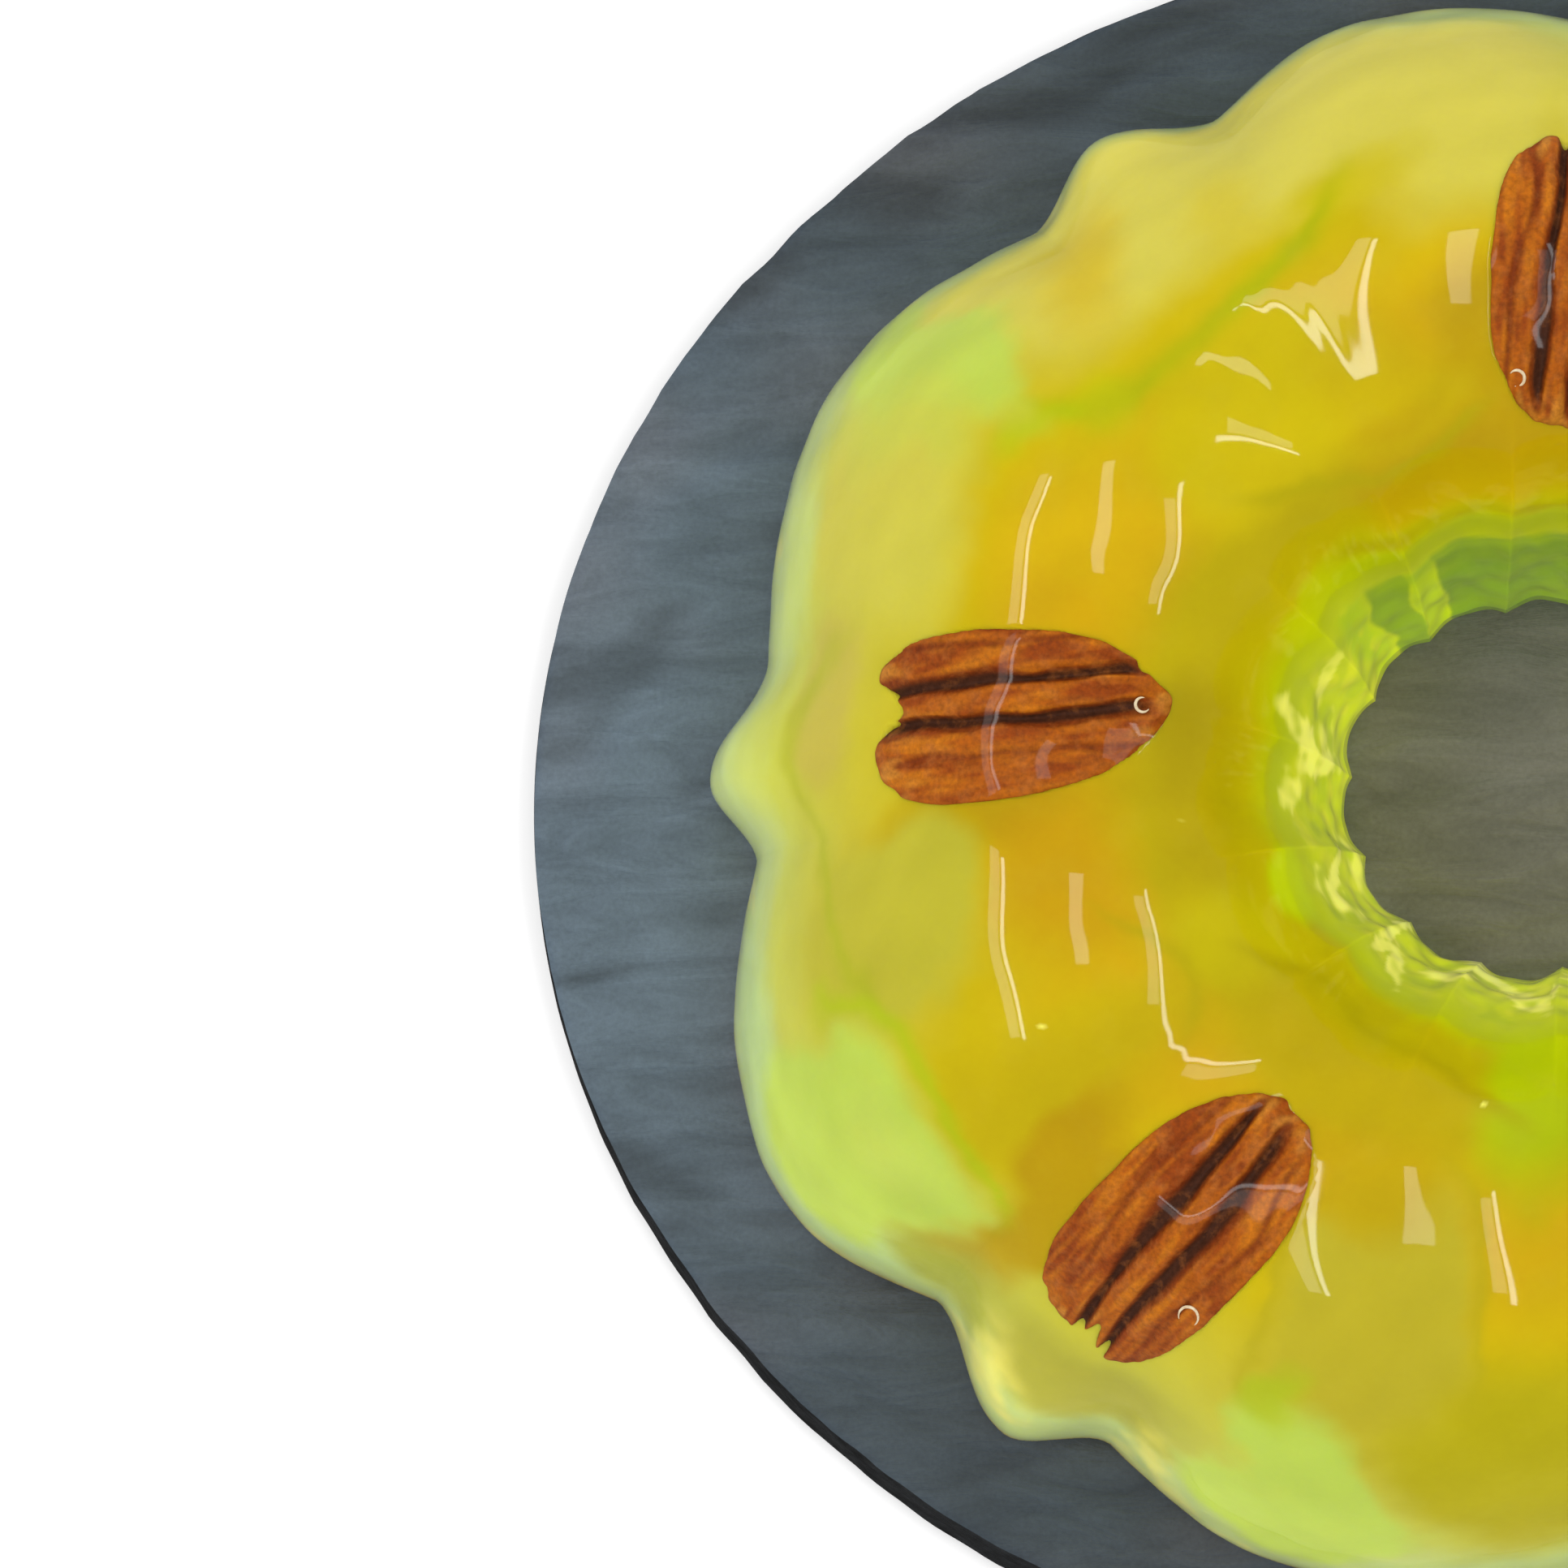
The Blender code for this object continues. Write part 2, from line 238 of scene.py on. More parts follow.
def grid_faces(rows, cols, wrap=True):
    n = cols if wrap else cols - 1
    return [
        (r * cols + c, r * cols + (c + 1) % cols, (r + 1) * cols + (c + 1) % cols, (r + 1) * cols + c)
        for r in range(rows - 1)
        for c in range(n)
    ]


def linear(rgb):
    c = np.asarray(rgb, float) / 255
    return np.where(c <= 0.04045, c / 12.92, ((c + 0.055) / 1.055) ** 2.4)


class Nodes:
    """A short way to write a material's node tree."""

    def __init__(self, name):
        self.mat = bpy.data.materials.new(name)
        self.mat.use_nodes = True
        self.tree = self.mat.node_tree
        self.shader = self.tree.nodes["Principled BSDF"]

    def add(self, kind, **values):
        node = self.tree.nodes.new("ShaderNode" + kind)
        for key, value in values.items():
            if key in node.inputs.keys():
                self.plug(value, node.inputs[key])
            else:
                setattr(node, key, value)
        return node

    def plug(self, value, socket):
        if isinstance(value, bpy.types.NodeSocket):
            self.tree.links.new(value, socket)
        else:
            socket.default_value = value

    def set(self, **values):
        for key, value in values.items():
            self.plug(value, self.shader.inputs[key.replace("_", " ")])

    def math(self, op, a, b=0.0, clamp=False):
        node = self.tree.nodes.new("ShaderNodeMath")
        node.operation, node.use_clamp = op, clamp
        self.plug(a, node.inputs[0])
        self.plug(b, node.inputs[1])
        return node.outputs[0]

    def mix(self, fac, a, b, blend="MIX"):
        node = self.tree.nodes.new("ShaderNodeMix")
        node.data_type, node.blend_type = "RGBA", blend
        self.plug(fac, node.inputs[0])
        self.plug(a, node.inputs[6])
        self.plug(b, node.inputs[7])
        return node.outputs[2]

    def noise(self, vector, scale, detail=2.0, rough=0.5, distort=0.0):
        node = self.add("TexNoise", Scale=scale, Detail=detail, Roughness=rough, Distortion=distort)
        self.plug(vector, node.inputs["Vector"])
        return node.outputs["Fac"]

    def ramp(self, fac, *stops):
        node = self.tree.nodes.new("ShaderNodeValToRGB")
        self.plug(fac, node.inputs[0])
        ramp = node.color_ramp
        while len(ramp.elements) < len(stops):
            ramp.elements.new(0.5)
        for element, (place, value) in zip(ramp.elements, stops):
            element.position = place
            element.color = (*value, 1) if isinstance(value, (tuple, list, np.ndarray)) else (value, value, value, 1)
        return node.outputs[0]

    def span(self, value, low, high):
        """A number that runs from low to high as value runs from 0.3 to 0.7."""
        node = self.add("MapRange", Value=value)
        for name, number in (("From Min", 0.3), ("From Max", 0.7), ("To Min", low), ("To Max", high)):
            node.inputs[name].default_value = number
        return node.outputs[0]

    def bump(self, height, strength, distance, normal=None):
        node = self.add("Bump", Height=height, Strength=strength, Distance=distance)
        if normal is not None:
            self.plug(normal, node.inputs["Normal"])
        return node.outputs[0]

    def scaled(self, vector, scale, rotate=(0, 0, 0)):
        node = self.tree.nodes.new("ShaderNodeMapping")
        self.plug(vector, node.inputs["Vector"])
        node.inputs["Scale"].default_value = scale
        node.inputs["Rotation"].default_value = rotate
        return node.outputs[0]

    def attribute(self, name, out="Color"):
        node = self.tree.nodes.new("ShaderNodeAttribute")
        node.attribute_name = name
        return node.outputs[out]

    def coords(self):
        return self.tree.nodes.new("ShaderNodeTexCoord").outputs["Object"]


# ------------------------------------------------------------------ colours inside the jelly, as seen in soft light
RIM = linear((189, 205, 120))
PALE = linear((197, 201, 82))
TAN = linear((203, 193, 60))
SLICE = linear((214, 203, 83))
DUSK = linear((187, 175, 34))
YELLOW = linear((205, 184, 24))
GOLD = linear((208, 173, 11))
AMBER = linear((190, 159, 6))
OLIVE = linear((187, 170, 8))
SHADE = linear((172, 158, 10))
MOSS = linear((176, 184, 19))
LIME = linear((190, 212, 86))
SPRING = linear((183, 196, 22))
WALL = linear((186, 195, 24))
# the next two are painted reflection of the dark slate on the far wall of the hole
FAR_WALL_REFLECTION = linear((110, 138, 36))
FACET_REFLECTION = linear((124, 150, 34))
# the next three are painted highlights: glints on the hole's wall and light caught in the foot
GLINT = linear((246, 240, 116))
SPARK = linear((250, 236, 112))
FOOT_GLINT = linear((222, 178, 52))

# the main run of colour from the outer foot over the crest to the foot of the hole
RUN = ((0.0, RIM), (0.30, RIM), (0.42, PALE), (0.62, TAN), (0.86, YELLOW), (1.10, GOLD), (1.25, OLIVE), (1.47, OLIVE), (1.56, MOSS), (1.66, WALL), (2.0, WALL))
# painted glow: share of each colour that the jelly gives off as emission, standing in for light from inside the jelly,
# along the same run
THROUGH = ((0.0, 0.2, 0.28, 0.36, 0.5, 1.40, 1.55, 1.65, 1.75, 1.85, 2.0), (0.16, 0.20, 0.22, 0.20, 0.0, 0.0, 0.15, 0.30, 0.46, 0.54, 0.60))
# painted light and shade: how bright the soft light leaves each stretch of that run; the colour is divided by it, so
# that dim stretches such as the hole's foot are painted brighter and the colours above come out as named
LIT = ((0.0, 0.15, 0.25, 0.35, 0.55, 0.75, 0.95, 1.1, 1.25, 1.4, 1.65, 1.85, 2.0), (0.96, 0.92, 0.94, 1.02, 1.05, 1.03, 0.99, 0.98, 0.93, 0.94, 0.98, 0.84, 0.66))


def jelly_colour(angle, s, x, y, z):
    """Colour of the jelly where its columns stand at angle and its rows at s. The fruit slices are
    pale, their edges olive, and the clear jelly between them lime."""
    a = angle + 1.7 * Waves(31, 12.0, 40.0, 16)(x, y, z) + 0.35 * Waves(34, 2.5, 8.0, 20)(x, y, z)
    s = s + 0.020 * Waves(32, 10.0, 36.0, 16)(x, y, z) + 0.005 * Waves(35, 2.5, 8.0, 20)(x, y, z)
    # the hidden half takes the mirrored order of the shown half, bent so that nut meets nut
    a = a % 360
    wide = np.where(a > 276, a - 360, a)
    hidden = np.interp(wide, (-90, -57, -28, -2.4, 15, 47.8, 86), (276, 233, 222, 202, 176, 148, 86))
    a = np.where((wide < 86) & (wide > -90), hidden, wide)
    mottle = Waves(33, 5.0, 16.0, 20)(x, y, z)

    colour = np.stack([np.interp(s, [at for at, _ in RUN], [tint[k] for _, tint in RUN]) for k in range(3)], -1)

    def over(tint, mask):
        nonlocal colour
        m = np.clip(mask, 0, 1)[..., None]
        colour = colour * (1 - m) + np.asarray(tint) * m

    def oval(a0, s0, da, ds, power=2.4):
        """Distance from (a0, s0) over the oval's half sizes da and ds, 1 on its edge."""
        return (np.abs((a - a0) / da) ** power + np.abs((s - s0) / ds) ** power) ** (1 / power)

    def blob(a0, s0, da, ds, soft=0.5, power=2.4):
        return 1 - sstep(1 - soft, 1 + soft * 0.6, oval(a0, s0, da, ds, power))

    def line(bow, width):
        return np.exp(-(((s - bow) / width) ** 2))

    # pale slices on the outer slope at the top, with a warm core, and their lower edge
    over(SLICE, blob(121, 0.54, 22, 0.27, 0.30, 3.0))
    over(SLICE, blob(97, 0.64, 12, 0.30, 0.35))
    over(linear((213, 184, 34)), blob(132, 0.60, 5, 0.17, 0.8) * 0.8)
    over(linear((210, 188, 34)), blob(118, 0.70, 3.2, 0.12, 0.8) * 0.5)
    over(linear((204, 188, 20)), blob(109, 0.78, 6, 0.06, 0.8) * 0.8)
    edge = 0.95 - np.where(a < 129, 0.00042, 0.0007) * (a - 129) ** 2
    over(linear((178, 181, 14)), line(edge, 0.030 + 0.022 * np.exp(-(((a - 131) / 8) ** 2))) * (1 - sstep(13, 22, np.abs(a - 126))) * 0.92)
    over(linear((190, 190, 14)), blob(138.5, 0.88, 4.0, 0.07, 0.7) * 0.8)
    # the slice under it, towards the hole
    over(linear((205, 187, 24)), blob(128, 1.13, 18, 0.18, 0.30))
    over(linear((200, 177, 10)), blob(113, 1.16, 9, 0.13, 0.5) * 0.7)
    over(AMBER, blob(102, 1.37, 22, 0.14, 0.35, 3.0))
    over(AMBER * 0.97, blob(95, 1.16, 7, 0.14, 0.6) * 0.8)
    edge = 1.365 - np.where(a < 119, 0.00015, 0.00035) * (a - 119) ** 2
    over(linear((180, 168, 12)), line(edge - 0.012, 0.022) * (1 - sstep(17, 25, np.abs(a - 118))) * 0.75)
    over(linear((198, 180, 8)), line(edge - 0.065, 0.03) * (1 - sstep(17, 25, np.abs(a - 118))) * 0.5)
    over(SHADE * 0.93, line(1.525, 0.018) * (1 - sstep(128, 134, a)) * 0.8)
    over(linear((164, 172, 26)), sstep(1.545, 1.57, s) * (1 - sstep(1.60, 1.66, s)) * (1 - sstep(126, 140, a)))
    over(linear((188, 196, 14)), blob(143, 1.52, 9, 0.05, 0.6) * 0.7)

    # the lobe above the middle nut: pale slice, band of clear lime jelly, warm crest
    over(linear((207, 199, 77)), blob(159, 0.62, 10, 0.22, 0.4))
    over(linear((199, 214, 112)), blob(164, 0.35, 7, 0.09, 0.6) * 0.8)
    over(linear((212, 178, 18)), blob(158, 1.00, 13, 0.16, 0.5) * 0.6)
    over(linear((207, 164, 11)), blob(164, 1.05, 5, 0.11, 0.6) * 0.4)
    over(LIME, blob(145.3, 0.50, 5.6 - 4.0 * np.clip(s - 0.5, 0, 1), 0.33, 0.30, 2.4) * 0.92)
    over(linear((199, 206, 80)), blob(150.5, 0.60, 4, 0.20, 0.6) * 0.7)
    over(linear((180, 196, 30)), line(0.835, 0.022) * blob(145, 0.83, 5, 0.1, 0.5) * 0.6)

    # round the middle nut
    over(linear((200, 184, 80)), blob(174.5, 0.555, 7, 0.085, 0.4) * 0.85)
    over(linear((182, 184, 52)), line(0.475 + 0.0012 * (a - 178) ** 2, 0.028) * blob(178, 0.5, 10, 0.2, 0.6) * 0.75)
    over(linear((188, 156, 7)), blob(186.5, 0.95, 4.5, 0.26, 0.6) * 0.9)
    over(linear((200, 160, 8)), blob(193, 1.06, 8, 0.15, 0.6) * 0.85)
    over(linear((181, 162, 9)), blob(181, 1.36, 17, 0.12, 0.5))
    over(linear((168, 150, 10)), blob(174, 1.30, 9, 0.05, 0.8) * 0.5)

    # the lower left lobe: pale slice, then a broad pool of clear lime jelly
    over(linear((190, 183, 58)), blob(194.5, 0.73, 9.5, 0.19, 0.25))
    over(linear((178, 181, 44)), line(0.56 + 0.0105 * (a - 188), 0.020) * blob(194, 0.62, 9, 0.2, 0.4) * 0.8)
    over(linear((181, 205, 126)), blob(206, 0.29, 17, 0.13, 0.5) * 0.9)
    pool = oval(208.5, 0.49, 11.0, 0.25, 1.9)
    over(linear((197, 176, 9)), blob(214, 0.95, 8, 0.27, 0.45) * 0.9)
    over(LIME, 1 - sstep(0.72, 1.06, pool))
    over(linear((199, 214, 96)), blob(210, 0.58, 5, 0.10, 0.8) * 0.6)
    over(linear((176, 193, 30)), np.exp(-(((pool - 1.05) / 0.07) ** 2)) * sstep(0.5, 0.6, s) * 0.75)
    over(linear((193, 180, 8)), blob(210, 1.32, 10, 0.13, 0.4))
    over(linear((179, 166, 10)), line(1.205 - 0.0007 * (a - 209) ** 2, 0.018) * blob(209, 1.2, 13, 0.2, 0.5) * 0.6)
    over(linear((184, 199, 30)), blob(205, 1.525, 8.5, 0.065, 0.4) * 0.95)

    # round the lowest nut, and the bottom lobe
    over(linear((170, 172, 58)), blob(221.5, 0.37, 4.2, 0.14, 0.5) * 0.9)
    over(linear((188, 153, 10)), blob(221.5, 0.72, 4.2, 0.28, 0.45) * 0.9)
    over(linear((176, 170, 64)), blob(234, 0.43, 9, 0.11, 0.5) * 0.9)
    over(linear((185, 181, 60)), blob(241, 0.36, 2.5, 0.06, 0.8) * 0.7)
    over(linear((191, 178, 48)), blob(254, 0.90, 10.5, 0.30, 0.25, 2.8))
    over(linear((178, 166, 34)), np.exp(-(((oval(254, 0.90, 10.5, 0.30, 2.8) - 1.0) / 0.06) ** 2)) * 0.45)
    over(linear((195, 166, 12)), blob(248, 1.13, 11, 0.12, 0.5) * 0.8)
    over(LIME, blob(251.3, 0.455, 7.8, 0.225, 0.22, 2.2))
    over(linear((178, 193, 40)), blob(248.5, 0.68, 2.8, 0.07, 0.6) * 0.8)
    over(linear((186, 174, 27)), blob(270, 0.62, 10.5, 0.26, 0.4))
    over(linear((178, 192, 15)), blob(271, 1.38, 11, 0.25, 0.45))
    over(linear((190, 168, 7)), blob(238, 1.28, 21, 0.10, 0.5) * 0.9)
    over(linear((170, 155, 8)), line(1.42 - 0.00014 * (a - 236) ** 2, 0.020) * (1 - sstep(22, 34, np.abs(a - 240))) * 0.65)
    over(linear((184, 165, 10)), line(1.475, 0.035) * (1 - sstep(14, 24, np.abs(a - 232))) * 0.7)

    # the hole's wall: painted reflection of the dark slate and painted shade on the far side, painted highlights and
    # shade along crinkles on the near one
    wall = sstep(1.62, 1.655, s)
    lit_crinkle = Waves(41, 2.0, 8.0, 30)(x, y, z * 0.5)
    over(linear((168, 190, 18)), wall * blob(139, 1.8, 5, 0.3, 0.5) * 0.9)
    # painted reflection: the far wall's panels darkened as if mirroring the slate
    over(FAR_WALL_REFLECTION, wall * (1 - sstep(114.6, 116.6, a)) * (0.97 + 0.03 * mottle))
    over(FACET_REFLECTION, wall * sstep(122.8, 124.6, a) * (1 - sstep(132.8, 134.6, a)))
    over(linear((163, 182, 23)), wall * sstep(115.2, 116.8, a) * (1 - sstep(122.6, 124.2, a)) * (0.94 + 0.06 * mottle))
    # painted shade: a darker line along the top of the far wall
    over(linear((142, 166, 32)), wall * line(1.66, 0.02) * (1 - sstep(130, 136, a)) * 0.7)
    near = wall * sstep(134, 140, a)
    # painted shade and painted highlight along the crinkles of the near wall
    over(linear((170, 184, 20)), near * sstep(0.3, 1.0, -lit_crinkle) * 0.8)
    over(linear((205, 206, 40)), near * sstep(0.2, 0.9, lit_crinkle) * 0.7)
    # painted highlights: glints on the near wall
    for a0, s0, da, ds, lean, share in (
        (269, 1.80, 7, 0.07, -0.014, 0.8),
        (256, 1.94, 8, 0.07, -0.006, 1.0),
        (248, 1.82, 6, 0.08, 0.010, 0.9),
        (234.5, 1.70, 4.5, 0.06, -0.016, 1.0),
        (226.5, 1.86, 1.9, 0.16, 0.0, 1.0),
        (229, 1.72, 3.0, 0.04, 0.02, 0.8),
        (212, 1.71, 8, 0.045, 0.004, 1.0),
        (204, 1.76, 6, 0.035, -0.010, 0.9),
        (203, 1.93, 9, 0.04, 0.0, 0.5),
        (186, 1.64, 4, 0.05, 0.0, 0.8),
        (171, 1.67, 7, 0.07, 0.012, 0.9),
        (177, 1.80, 4, 0.12, -0.02, 0.8),
        (168, 1.83, 6, 0.05, 0.0, 0.5),
        (153, 1.72, 8, 0.03, 0.004, 0.6),
    ):
        d = ((a - a0) / da) ** 2 + ((s - s0 - lean * (a - a0)) / ds) ** 2
        d = d * (1 + 0.35 * Waves(43, 1.6, 5.0, 24)(x, y, z))
        over(GLINT, (1 - sstep(0.35, 1.5, d)) * share * sstep(-1.3, 0.1, lit_crinkle))

    # painted highlights: light caught in the thin foot beside the ribs and under the lobes, as a gold band, a pale
    # line along the foot and bright spots
    over(FOOT_GLINT, (1 - sstep(0.05, 0.15, s)) * sstep(168, 190, a) * 0.85)
    over(linear((214, 206, 104)), (1 - sstep(0.02, 0.07, s)) * (1 - sstep(172, 190, a)) * 0.6)
    for a0, s0, da, ds in (
        (227.3, 0.25, 2.6, 0.17), (241.0, 0.26, 2.4, 0.13), (188.6, 0.12, 1.7, 0.12), (214.5, 0.10, 3.2, 0.06), (248, 0.14, 4, 0.06),
        (160.5, 0.08, 0.8, 0.14), (142.0, 0.10, 1.0, 0.12), (130.5, 0.14, 1.3, 0.14), (119.0, 0.14, 1.2, 0.13), (99, 0.1, 2, 0.1),
    ):
        d = ((a - a0) / da) ** 2 + ((s - s0) / ds) ** 2
        over(SPARK, (1 - sstep(0.1, 2.2, d)) * sstep(-2.0, 0.8, lit_crinkle) * np.where((angle > 92) & (angle < 262), 0.6, 0.0))
    colour *= (1 + 0.025 * mottle)[..., None]
    # painted light: dividing by the table above paints the dimly lit stretches brighter
    colour = np.clip((colour - 0.008) / np.interp(s, *LIT)[..., None], 0.002, 0.98)
    # painted glow, standing in for light that comes through the clear jelly to its thin foot and to the wall of the
    # hole
    return colour, colour * np.interp(s, *THROUGH)[..., None]


def jelly_material():
    m = Nodes("jelly_glossy")
    pos = m.coords()
    tint = m.attribute("tint")
    cloud = m.noise(pos, 160.0, 3.0, 0.55)
    tint = m.mix(m.math("MULTIPLY", m.math("SUBTRACT", cloud, 0.52), 0.35, True), tint, (0.60, 0.52, 0.05, 1))
    fine = m.noise(pos, 900.0, 2.0)
    tint = m.mix(0.10, tint, m.ramp(fine, (0.3, (0.40, 0.40, 0.40)), (0.7, (0.60, 0.60, 0.60))), "SOFT_LIGHT")
    grain = m.noise(pos, 420.0, 2.0)
    m.set(
        Base_Color=tint,
        Roughness=m.span(grain, 0.30, 0.42),
        Specular_IOR_Level=0.06,
        Subsurface_Weight=1.0,
        Subsurface_Radius=(1.0, 0.9, 0.35),
        Subsurface_Scale=0.0025,
        # painted glow: emission standing in for light through the jelly
        Emission_Color=m.attribute("through"),
        Emission_Strength=1.0,
        Coat_Weight=1.0,
        Coat_Roughness=0.035,
        Coat_IOR=1.42,
        IOR=1.40,
    )
    m.set(Normal=m.bump(grain, 0.05, 0.0004))
    return m.mat


def build_jelly():
    t = np.radians(ANGLES)[None, :]
    x, y = RAD * np.cos(t), CY + RAD * np.sin(t)
    z = BASE + HIGH
    z[0] = z[-1] = PLATE_TOP  # the feet stand on the slate
    place = np.broadcast_to(PLACE[:, None], x.shape)
    # under each nut the jelly makes room for it
    for nut in NUTS:
        u, v = nut_plan(nut, x, y)
        inside = nut_inside(nut, u, v)
        z = z - 3.4 * sstep(0.03, 0.30, inside) * (place > 0.2) * (place < 1.6)
    verts = np.stack([x, y, z], -1).reshape(-1, 3) * MM
    faces = grid_faces(len(PLACE), COLS)
    last = (len(PLACE) - 1) * COLS
    faces += [(last + c, last + (c + 1) % COLS, (c + 1) % COLS, c) for c in range(COLS)]
    obj = make_object("moulded_jelly", verts, faces)
    colour, through = jelly_colour(np.broadcast_to(ANGLES[None, :], x.shape), place, x, y, z)
    paint(obj.data, "tint", colour.reshape(-1, 3))
    paint(obj.data, "through", through.reshape(-1, 3))
    obj.data.materials.append(jelly_material())
    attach(obj, "root")
    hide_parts("jelly")
    return obj


# ------------------------------------------------------------------ pecan halves
def nut_plan(nut, x, y):
    """A plan point in the nut's own terms: u along it, 1 at the notched end, v across, each over its half size."""
    _, angle, radius, pointing, length, width, *_ = nut
    a, p = math.radians(angle), math.radians(pointing)
    dx, dy = x - radius * math.cos(a), y - CY - radius * math.sin(a)
    return (dx * math.cos(p) + dy * math.sin(p)) / (length / 2), (-dx * math.sin(p) + dy * math.cos(p)) / (width / 2)


def nut_edge(nut, phi):
    """Reach of the nut's outline from its middle in the direction phi, in the terms of nut_plan: a
    rounder tip, a blunt end with a notch, and a slightly ragged rim."""
    middle, drift, taper, wide, deep, seed = nut[6], nut[7], nut[9], nut[10], nut[11], nut[12]
    c, s = np.cos(phi), np.sin(phi)
    power = 2.7 + 0.9 * c
    reach = (np.abs(c) ** power + np.abs(s / (1.0 + taper * (c - 0.35))) ** power) ** (-1 / power)
    ripple = Waves(seed, 0.16, 0.9, 26)(c, s, 0.0)
    reach = reach * (1 + 0.010 * ripple)
    off = middle + drift
    notch = np.exp(-np.abs((s - off) / wide) ** 2.6) * (c > 0)
    dent = np.exp(-(((s - middle) / 0.16) ** 2)) * (c < 0)
    return reach * (1 - deep * notch - 0.03 * dent)


def nut_inside(nut, u, v):
    """How far inside the outline a point lies: 0 on it, 1 in the middle, less than 0 outside."""
    return 1 - np.hypot(u, v) / nut_edge(nut, np.arctan2(v, u))


def nut_relief(nut, u, v):
    """Height of the nut's back over its rim line, mm, and how deep in a groove each point is."""
    middle, drift, spread, seed = nut[6], nut[7], nut[8], nut[12]
    wander = Waves(seed + 30, 0.35, 1.3, 16)(u, 0.4 * v, 0.0)
    gap = spread * (1.0 - 0.22 * u**2)
    here = v - middle * (1 - 0.25 * u**2) - drift * u - 0.022 * wander
    width = 0.074 * (1 + 0.25 * np.sin(3.1 * u + seed) + 0.22 * Waves(seed + 40, 0.2, 0.7, 14)(u, v, 0.0))
    # each groove is steeper on the side of the middle ridge
    groove = 0.0
    for side in (-1, 1):
        d = (here - side * gap) * side
        groove = groove + np.exp(-np.abs(d / np.where(d > 0, width * 1.35, width * 0.8)) ** 2.2)
    groove = np.clip(groove, 0, 1) * sstep(-0.97, -0.66, u)
    outer = np.exp(-(((np.abs(here) - gap - 0.40 - 0.05 * np.sin(4 * u + seed) - 0.03 * wander) / 0.045) ** 2)) * sstep(0.98, 0.6, np.abs(u))
    lobe = np.clip(1 - ((np.abs(here) - gap - 0.20) / 0.24) ** 2, 0, 1)
    ridge = np.exp(-((here / (gap * 0.55)) ** 2))
    long_wrinkle = Waves(seed + 50, 0.07, 0.4, 30, (2.4, 1.0, 1.0))(u, v, 0.0)
    cross = Waves(seed + 60, 0.06, 0.22, 26, (1.0, 3.0, 1.0))(u, v, 0.0)
    knobs = Waves(seed + 70, 0.12, 0.42, 24)(u, v, 0.0)
    ends = sstep(0.60, 0.92, np.abs(u))
    relief = -1.35 * groove - 0.30 * outer + 0.22 * lobe + 0.16 * ridge + 0.07 * long_wrinkle + 0.035 * cross + (0.06 + 0.20 * ends) * knobs
    return relief, groove, outer, long_wrinkle, knobs, ends


def nut_material():
    m = Nodes("pecan_glossy")
    pos = m.coords()
    tint = m.attribute("tint")
    blotch = m.noise(pos, 420.0, 4.0, 0.6)
    tint = m.mix(m.math("MULTIPLY", m.math("SUBTRACT", blotch, 0.5, True), 2.2, True), tint, (0.42, 0.125, 0.022, 1))
    grain = m.noise(pos, 1500.0, 3.0, 0.6)
    tint = m.mix(0.45, tint, m.ramp(grain, (0.3, (0.22, 0.22, 0.22)), (0.7, (0.75, 0.75, 0.75))), "OVERLAY")
    m.set(
        Base_Color=tint,
        Roughness=m.span(grain, 0.36, 0.62),
        Specular_IOR_Level=0.08,
        Coat_Weight=0.5,
        Coat_Roughness=0.05,
        Coat_IOR=1.42,
    )
    m.set(Normal=m.bump(grain, 0.35, 0.0003, m.bump(blotch, 0.3, 0.0006)))
    film = m.attribute("film", "Vector")
    m.set(Coat_Normal=film)
    return m.mat


